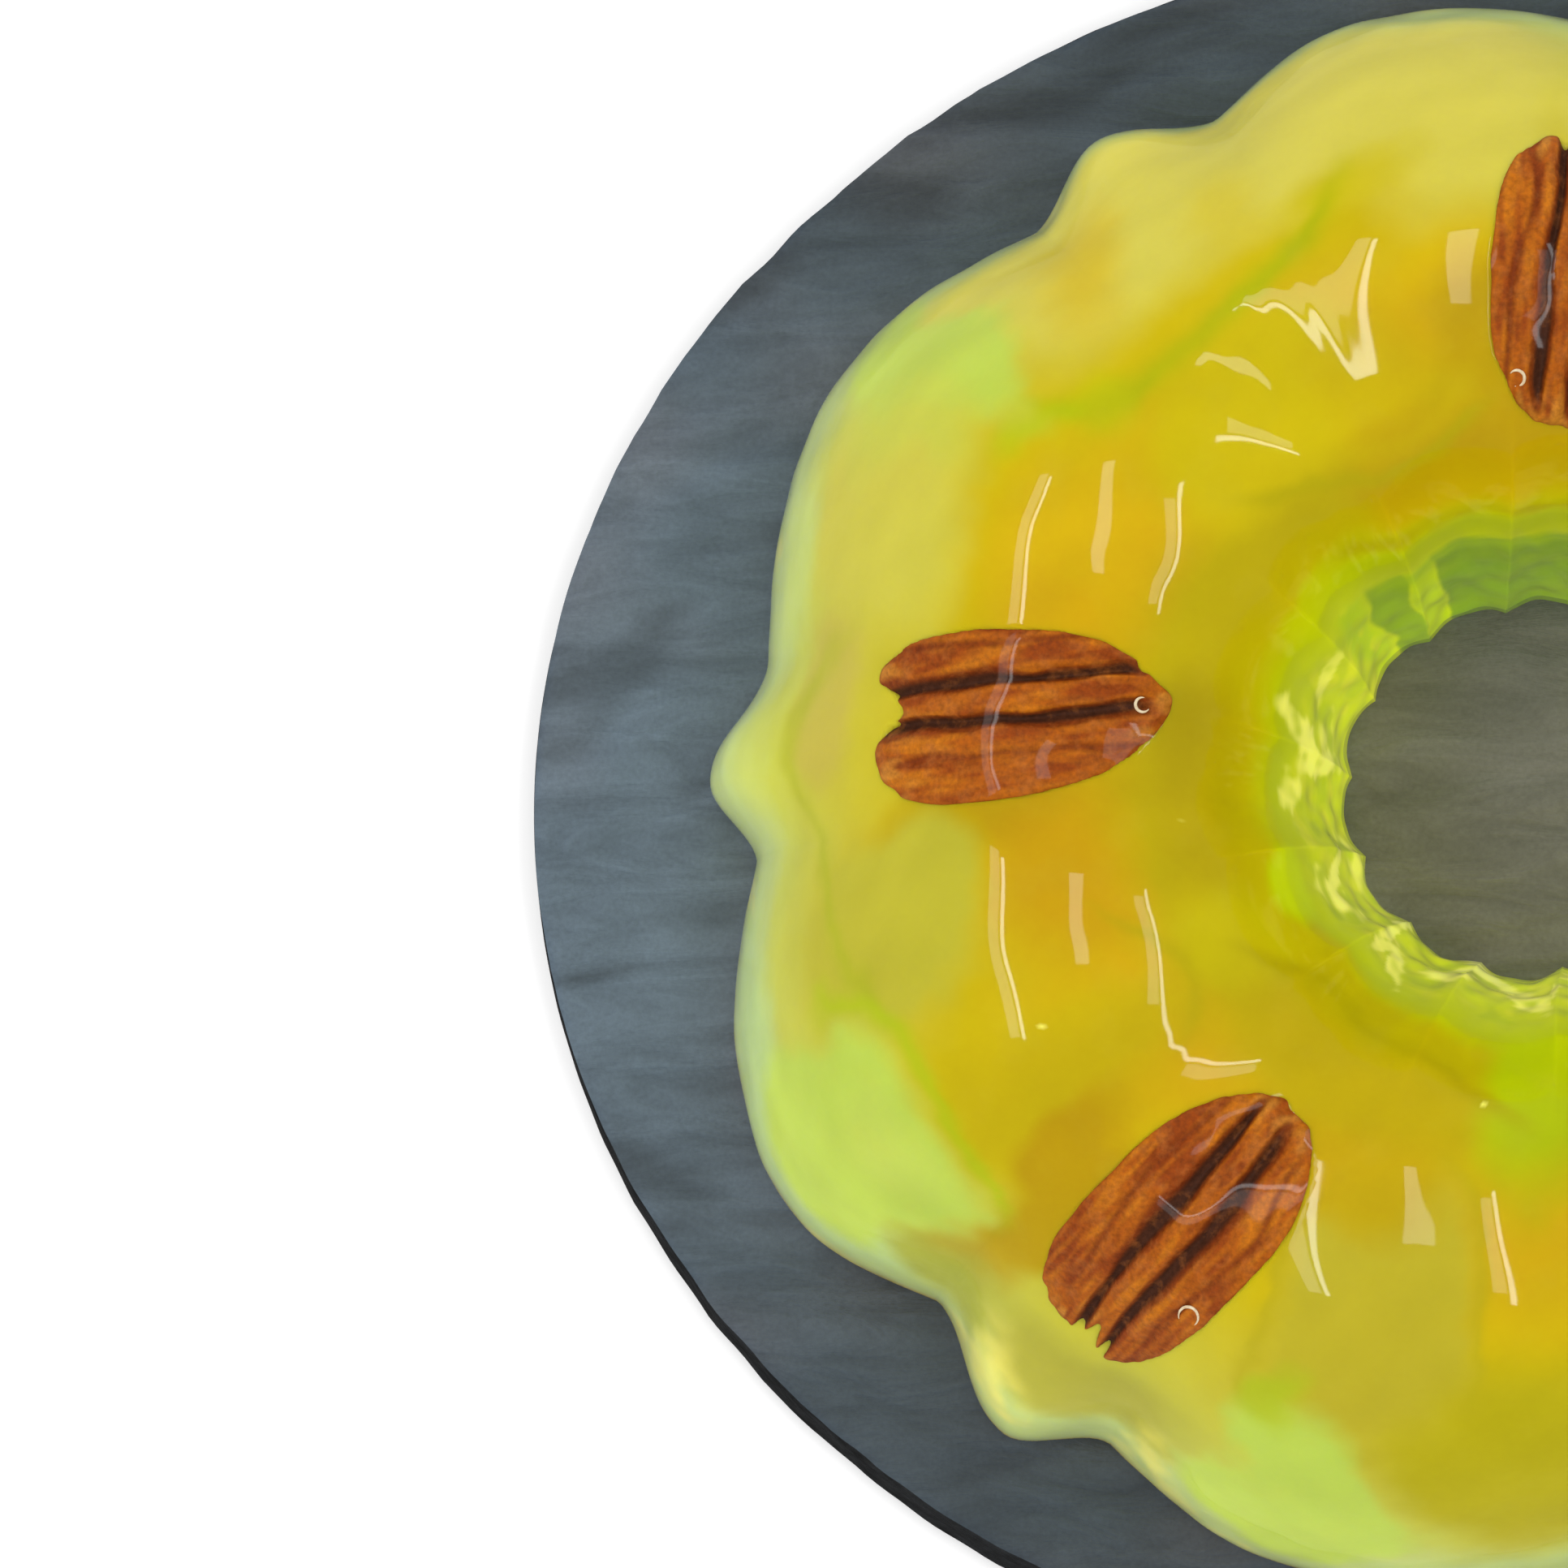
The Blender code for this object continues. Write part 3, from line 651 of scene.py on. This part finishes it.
def build_nut(nut, material):
    name, angle, radius, pointing, length, width = nut[:6]
    seed = nut[12]
    around, rings = 360, 64
    phi = np.arange(around) * 2 * np.pi / around
    edge = nut_edge(nut, phi)
    rho = np.sin(0.5 * np.pi * np.linspace(0, 1, rings + 1)[1:]) ** 0.9
    u = rho[:, None] * (edge * np.cos(phi))[None, :]
    v = rho[:, None] * (edge * np.sin(phi))[None, :]
    a, p = math.radians(angle), math.radians(pointing)
    cx, cy = radius * math.cos(a), CY + radius * math.sin(a)

    def plan(u, v):
        du, dv = u * length / 2, v * width / 2
        return cx + du * math.cos(p) - dv * math.sin(p), cy + du * math.sin(p) + dv * math.cos(p)

    x, y = plan(u, v)
    relief, groove, outer, wrinkle, knobs, ends = nut_relief(nut, u, v)
    away = (1 - rho[:, None]) * (edge * np.hypot(np.cos(phi) * length / 2, np.sin(phi) * width / 2))[None, :]
    shoulder = 1 - np.clip(away / 1.7, 0, 1)
    back = smooth_z(x, y) + 0.35 + relief * (1 - shoulder**3) - 1.5 * (1 - np.sqrt(np.clip(1 - shoulder**2.2, 0, 1)))
    x0, y0 = plan(0.0, 0.0)
    mid_relief, g0, *_ = nut_relief(nut, np.zeros(1), np.zeros(1))
    top_point = np.array([[x0, y0, float(smooth_z(np.array([x0]), np.array([y0]))[0] + 0.35 + mid_relief[0])]])
    upper = np.concatenate([top_point, np.stack([x, y, back], -1).reshape(-1, 3)])
    # the hidden underside: a shallow bowl
    low_rho = np.array([0.985, 0.9, 0.7, 0.45, 0.2])
    lx, ly = plan(low_rho[:, None] * (edge * np.cos(phi))[None, :], low_rho[:, None] * (edge * np.sin(phi))[None, :])
    lz = smooth_z(lx, ly) - 1.2 - (5.2 * np.sqrt(1 - low_rho**2))[:, None]
    bottom = np.array([[x0, y0, float(smooth_z(np.array([x0]), np.array([y0]))[0] - 6.5)]])
    verts = np.concatenate([upper, np.stack([lx, ly, lz], -1).reshape(-1, 3), bottom])
    total = rings + len(low_rho)
    faces = [(0, 1 + c, 1 + (c + 1) % around) for c in range(around)]
    faces += [tuple(1 + i for i in f) for f in grid_faces(total, around)]
    faces = [faces[i] if i < around else faces[i][::-1] for i in range(len(faces))]
    end = 1 + (total - 1) * around
    faces += [(1 + total * around, end + (c + 1) % around, end + c) for c in range(around)]
    obj = make_object(name + "_half", verts * MM, faces)

    brown, dark, tan, rust, honey = linear((166, 84, 8)), linear((68, 36, 20)), linear((196, 128, 42)), linear((132, 52, 6)), linear((194, 112, 12))
    n_up = 1 + rings * around
    flat = lambda f: np.concatenate([[f.ravel()[0]], f.ravel(), np.zeros(len(verts) - n_up)])
    g, o, w, k, e = (flat(f) for f in (groove, outer, wrinkle, knobs, ends * np.ones_like(u)))
    c = np.tile(brown, (len(verts), 1))

    def over(tint, mask):
        nonlocal c
        mask = np.clip(mask, 0, 1)[:, None]
        c = c * (1 - mask) + tint * mask

    over(rust, sstep(-0.1, 1.1, -w) * 0.75)
    over(honey, sstep(0.1, 1.3, w) * 0.7)
    over(tan, sstep(0.1, 1.2, k) * (0.10 + 0.65 * e))
    over(rust * 0.8, o * 0.75)
    over(rust * 0.75, sstep(0.04, 0.35, g) * 0.85)
    over(dark, sstep(0.35, 0.85, g) * 0.95)
    # painted shade: the nut darker round its rim, where it dips into the jelly
    rim = flat(shoulder)
    over(rust * 0.6, sstep(0.55, 1.0, rim) * 0.7)
    paint(obj.data, "tint", c)
    # the film of jelly over the nut keeps the ring's own smooth surface
    vx, vy = verts[:, 0], verts[:, 1]
    gx = (smooth_z(vx + 0.8, vy) - smooth_z(vx - 0.8, vy)) / 1.6
    gy = (smooth_z(vx, vy + 0.8) - smooth_z(vx, vy - 0.8)) / 1.6
    # it dips and wavers over the nut, and turns up in a narrow lip round it
    quiver = Waves(seed + 90, 5.0, 14.0, 24)
    gx = gx + 0.05 * quiver(vx, vy, 0.0) + 0.12 * quiver(vy, vx, 9.0) * rim
    gy = gy + 0.05 * quiver(vx, vy, 40.0) + 0.12 * quiver(vy, vx, 55.0) * rim
    n = np.stack([-gx, -gy, np.ones_like(gx)], -1)
    n /= np.linalg.norm(n, axis=1)[:, None]
    layer = obj.data.attributes.new("film", "FLOAT_VECTOR", "POINT")
    layer.data.foreach_set("vector", n.astype(np.float32).ravel())
    obj.data.materials.append(material)
    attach(obj, "root")
    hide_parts(name)
    return obj


# ------------------------------------------------------------------ air bubbles caught at the nuts, their pale rims painted highlights
def build_bubbles():
    """Three pale open rims, painted highlights on air bubbles over the nuts: the nut, its share along and
    across, ring radius in mm, the direction of the gap in degrees."""
    verts, faces = [], []
    around, tube = 40, 10
    for which, u, v, size, gap in ((2, 0.37, 0.76, 1.15, 250.0), (0, -0.68, 0.50, 0.85, 200.0), (1, -0.80, 0.03, 0.80, 20.0)):
        _, angle, radius, pointing, length, width, *_ = NUTS[which]
        t, p = math.radians(angle), math.radians(pointing)
        du, dv = u * length / 2, v * width / 2
        cx = radius * math.cos(t) + du * math.cos(p) - dv * math.sin(p)
        cy = CY + radius * math.sin(t) + du * math.sin(p) + dv * math.cos(p)
        first = len(verts)
        for i in range(around):
            share = i / (around - 1)
            turn = math.radians(gap + 55 + 250 * share)
            thick = 0.03 + 0.16 * math.sin(math.pi * share) ** 0.7
            for j in range(tube):
                w = 2 * math.pi * j / tube
                reach = size + thick * math.cos(w)
                x, y = cx + reach * math.cos(turn), cy + reach * math.sin(turn)
                base = float(surface_z(np.array([x]), np.array([y]))[0])
                verts.append((x, y, base + 0.42 + thick * math.sin(w)))
        for i in range(around - 1):
            for j in range(tube):
                k = (j + 1) % tube
                faces.append((first + i * tube + j, first + i * tube + k, first + (i + 1) * tube + k, first + (i + 1) * tube + j))
        faces.append(tuple(first + j for j in range(tube)))
        faces.append(tuple(first + (around - 1) * tube + j for j in range(tube))[::-1])
    # painted highlights: pale rims of air bubbles
    obj = make_object("bubble_highlight_rims", np.array(verts) * MM, [f[::-1] for f in faces])
    m = Nodes("bubble_highlight")
    grain = m.noise(m.coords(), 1800.0, 2.0)
    m.set(Base_Color=m.ramp(grain, (0.3, (0.62, 0.45, 0.26)), (0.7, (0.86, 0.74, 0.52))), Roughness=m.span(grain, 0.12, 0.28))
    m.set(Normal=m.bump(grain, 0.2, 0.0001))
    obj.data.materials.append(m.mat)
    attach(obj, "root")
    return obj


# ------------------------------------------------------------------ slate plate
def slate_relief(x, y):
    """Cleft slate: long low waves that run a little uphill to the right, mm, 0 to about -0.3."""
    c, s = math.cos(math.radians(14)), math.sin(math.radians(14))
    along, across = x * c + y * s, -x * s + y * c
    bend = 3.0 * Waves(61, 18.0, 60.0, 14)(x, y)
    across = across + bend
    wave = Waves(62, 3.4, 16.0, 26, (3.6, 1.0, 1.0))(along, across)
    fine = Waves(63, 1.2, 4.0, 26, (3.0, 1.0, 1.0))(along, across)
    step = sstep(-0.4, 0.5, wave)
    return -0.42 + 0.26 * step + 0.08 * wave + 0.03 * fine, wave, fine


def slate_material(side):
    m = Nodes("slate_edge" if side else "slate_face")
    pos = m.coords()
    if side:
        rough = m.noise(m.scaled(pos, (1, 1, 4)), 260.0, 5.0, 0.65)
        tint = m.ramp(rough, (0.3, (0.0035, 0.004, 0.0045)), (0.75, (0.02, 0.023, 0.026)))
        m.set(Base_Color=tint, Roughness=m.span(rough, 0.75, 0.5))
        m.set(Normal=m.bump(rough, 0.8, 0.0010))
        return m.mat
    tint = m.attribute("tint")
    streak = m.noise(m.scaled(pos, (0.35, 1.3, 1), (0, 0, math.radians(-14))), 150.0, 5.0, 0.62, 0.6)
    tint = m.mix(0.55, tint, m.ramp(streak, (0.3, 0.25), (0.72, 0.72)), "OVERLAY")
    grain = m.noise(pos, 1600.0, 3.0, 0.6)
    tint = m.mix(0.25, tint, m.ramp(grain, (0.3, 0.3), (0.7, 0.7)), "OVERLAY")
    m.set(Base_Color=tint, Roughness=m.span(streak, 0.66, 0.46))
    m.set(Normal=m.bump(grain, 0.25, 0.0002, m.bump(streak, 0.7, 0.0010)))
    return m.mat


def build_plate():
    half = ((plate_hi.x - plate_lo.x) / 2 / MM, (plate_hi.y - plate_lo.y) / 2 / MM)
    thick = PLATE_TOP
    around, rings = 420, 120
    phi = np.arange(around) * 2 * np.pi / around
    calm = np.sin(2 * phi) ** 2
    chip = 0.28 * calm * (np.sin(7 * phi + 0.6) + 0.6 * np.sin(17 * phi + 2.1) + 0.5 * np.sin(43 * phi) + 0.4 * np.sin(71 * phi + 1)) / 2
    shrink = 1 - np.abs(chip) / half[0]
    foot = np.stack([half[0] * shrink * np.cos(phi), half[1] * shrink * np.sin(phi)], -1)
    lip = np.stack([124.3 * shrink * np.cos(phi), 1.1 + 107.4 * shrink * np.sin(phi)], -1)
    lip -= (np.abs(chip) * 0.9 * calm)[:, None] * np.stack([np.cos(phi), np.sin(phi)], -1)
    rows, z = [], []
    rows.append(foot * 0.02), z.append(np.zeros(around))
    rows.append(foot * 0.985), z.append(np.zeros(around))
    for k, (mixed, h) in enumerate(((0.0, 0.10), (0.05, 0.45), (0.45, 0.66), (0.80, 0.86))):
        jag = 0.10 * np.sin(23 * phi + 2 * k) * calm + 0.08 * np.sin(57 * phi + 5 * k) * calm
        rows.append(foot * (1 - mixed) + lip * mixed - np.abs(jag)[:, None] * np.stack([np.cos(phi), np.sin(phi)], -1))
        z.append(np.full(around, thick * h))
    first_top = len(rows)
    share = 1 - (np.linspace(0, 1, rings) ** 1.0) * 0.995
    for f in share:
        p = np.array([0.0, 1.1]) + (lip - np.array([0.0, 1.1])) * f
        relief, *_ = slate_relief(p[:, 0], p[:, 1])
        rows.append(p)
        z.append(thick + np.minimum(relief, 0.0) - (0.25 if f > 0.9999 else 0.0))
    pts = np.concatenate([np.concatenate([np.stack(rows), np.stack(z)[..., None]], -1).reshape(-1, 3)])
    n_rows = len(rows)
    faces = grid_faces(n_rows, around)
    faces.append(tuple(range(around))[::-1])
    last = (n_rows - 1) * around
    faces.append(tuple(last + i for i in range(around)))
    obj = make_object("slate_plate", pts * MM, faces)
    x, y = pts[:, 0], pts[:, 1]
    _, wave, fine = slate_relief(x, y)
    patch = Waves(65, 22.0, 70.0, 14)(x, y)
    base = np.tile(linear((80, 95, 107)), (len(pts), 1))
    purple = linear((96, 96, 102))
    m = sstep(-0.2, 1.2, patch)[:, None] * 0.6
    base = base * (1 - m) + purple * m
    m = (sstep(0.3, 1.6, -wave) * 0.5)[:, None]
    base = base * (1 - m) + linear((44, 54, 60)) * m
    grey = (1 - sstep(20.0, 30.0, np.hypot(x, y - CY)))[:, None] * 0.8
    base = base * (1 - grey) + linear((112, 104, 118)) * grey
    # painted light: a sheen paler at one side; painted shade: darker towards the two ends across
    painted_sheen_and_shade = 1 + 0.30 * sstep(60, 110, -x) * np.exp(-(((y + 10) / 52) ** 2)) - 0.42 * sstep(32, 88, np.abs(y - 6))
    base = base * painted_sheen_and_shade[:, None]
    paint(obj.data, "tint", base)
    obj.data.materials.append(slate_material(False))
    obj.data.materials.append(slate_material(True))
    index = np.zeros(len(obj.data.polygons), np.int32)
    index[: first_top * around] = 1
    index[-2] = 1
    obj.data.polygons.foreach_set("material_index", index)
    obj.data.set_sharp_from_angle(angle=math.radians(45))
    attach(obj, "root")
    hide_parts("plate")
    return obj


# ------------------------------------------------------------------ stage, light, camera
def build_stage():
    m = Nodes("studio_floor")
    m.set(Base_Color=(0.93, 0.93, 0.93, 1), Roughness=0.9)
    m.set(Specular_IOR_Level=0.1, Emission_Color=(1, 1, 1, 1), Emission_Strength=0.15)
    floor = make_object("floor", [(-3, -3, -0.0004), (3, -3, -0.0004), (3, 3, -0.0004), (-3, 3, -0.0004)], [(0, 1, 2, 3)])
    floor.data.materials.append(m.mat)
    floor.visible_glossy = False  # a sheen on the jelly shows the lamps only


def area(name, where, towards, size, radiance, tint=(1, 1, 1)):
    light = bpy.data.lights.new(name, "AREA")
    light.shape = "RECTANGLE"
    light.size, light.size_y = size
    light.energy = radiance * math.pi * size[0] * size[1]
    light.color = tint
    obj = bpy.data.objects.new(name, light)
    z = (Vector(where) - Vector(towards)).normalized()
    yaxis = Vector((0, 1, 0))
    xaxis = yaxis.cross(z).normalized()
    yaxis = z.cross(xaxis)
    obj.matrix_world = Matrix.Translation(where) @ Matrix((xaxis, yaxis, z)).transposed().to_4x4()
    bpy.context.scene.collection.objects.link(obj)
    return obj


def build_light():
    world = bpy.data.worlds.new("studio")
    bpy.context.scene.world = world
    world.use_nodes = True
    tree = world.node_tree
    # soft light all round, but a dim room for the gloss to mirror, so that only the strips show in it
    path = tree.nodes.new("ShaderNodeLightPath")
    strength = tree.nodes.new("ShaderNodeMapRange")
    strength.inputs["To Min"].default_value = 0.95
    strength.inputs["To Max"].default_value = 0.16
    tree.links.new(path.outputs["Is Glossy Ray"], strength.inputs["Value"])
    background = tree.nodes["Background"]
    background.inputs[0].default_value = (1.0, 1.0, 1.0, 1)
    tree.links.new(strength.outputs[0], background.inputs[1])
    middle = (0, 0.003, 0.05)
    area("strip_left", (-0.47, 0.00, 0.95), middle, (0.030, 0.98), 9.0)
    area("strip_left_soft", (-0.54, 0.02, 0.92), middle, (0.09, 1.0), 2.6)
    area("strip_middle", (-0.02, 0.22, 1.02), middle, (0.07, 0.50), 3.5)
    area("strip_right", (0.44, 0.00, 0.95), middle, (0.028, 0.70), 9.0)
    area("strip_right_soft", (0.38, 0.02, 0.98), middle, (0.08, 0.55), 2.4)


def build_camera():
    cam = bpy.data.cameras.new("camera")
    cam.sensor_width = 36.0
    cam.lens = 111.80
    cam.clip_start, cam.clip_end = 0.01, 20.0
    obj = bpy.data.objects.new("camera", cam)
    bpy.context.scene.collection.objects.link(obj)
    x = Vector((0.98834883, 0.00796583, -0.15199713))
    y = Vector((0.0001755, 0.99856923, 0.0534740))
    z = x.cross(y).normalized()
    y = z.cross(x).normalized()
    obj.matrix_world = Matrix.Translation((0.0, -0.0284016, 0.6054777)) @ Matrix((x, y, z)).transposed().to_4x4()
    bpy.context.scene.camera = obj


bpy.context.scene.view_settings.view_transform = "Standard"
build_jelly()
pecan = nut_material()
for nut in NUTS:
    build_nut(nut, pecan)
build_bubbles()
build_plate()
build_stage()
build_light()
build_camera()

bpy.context.view_layer.update()
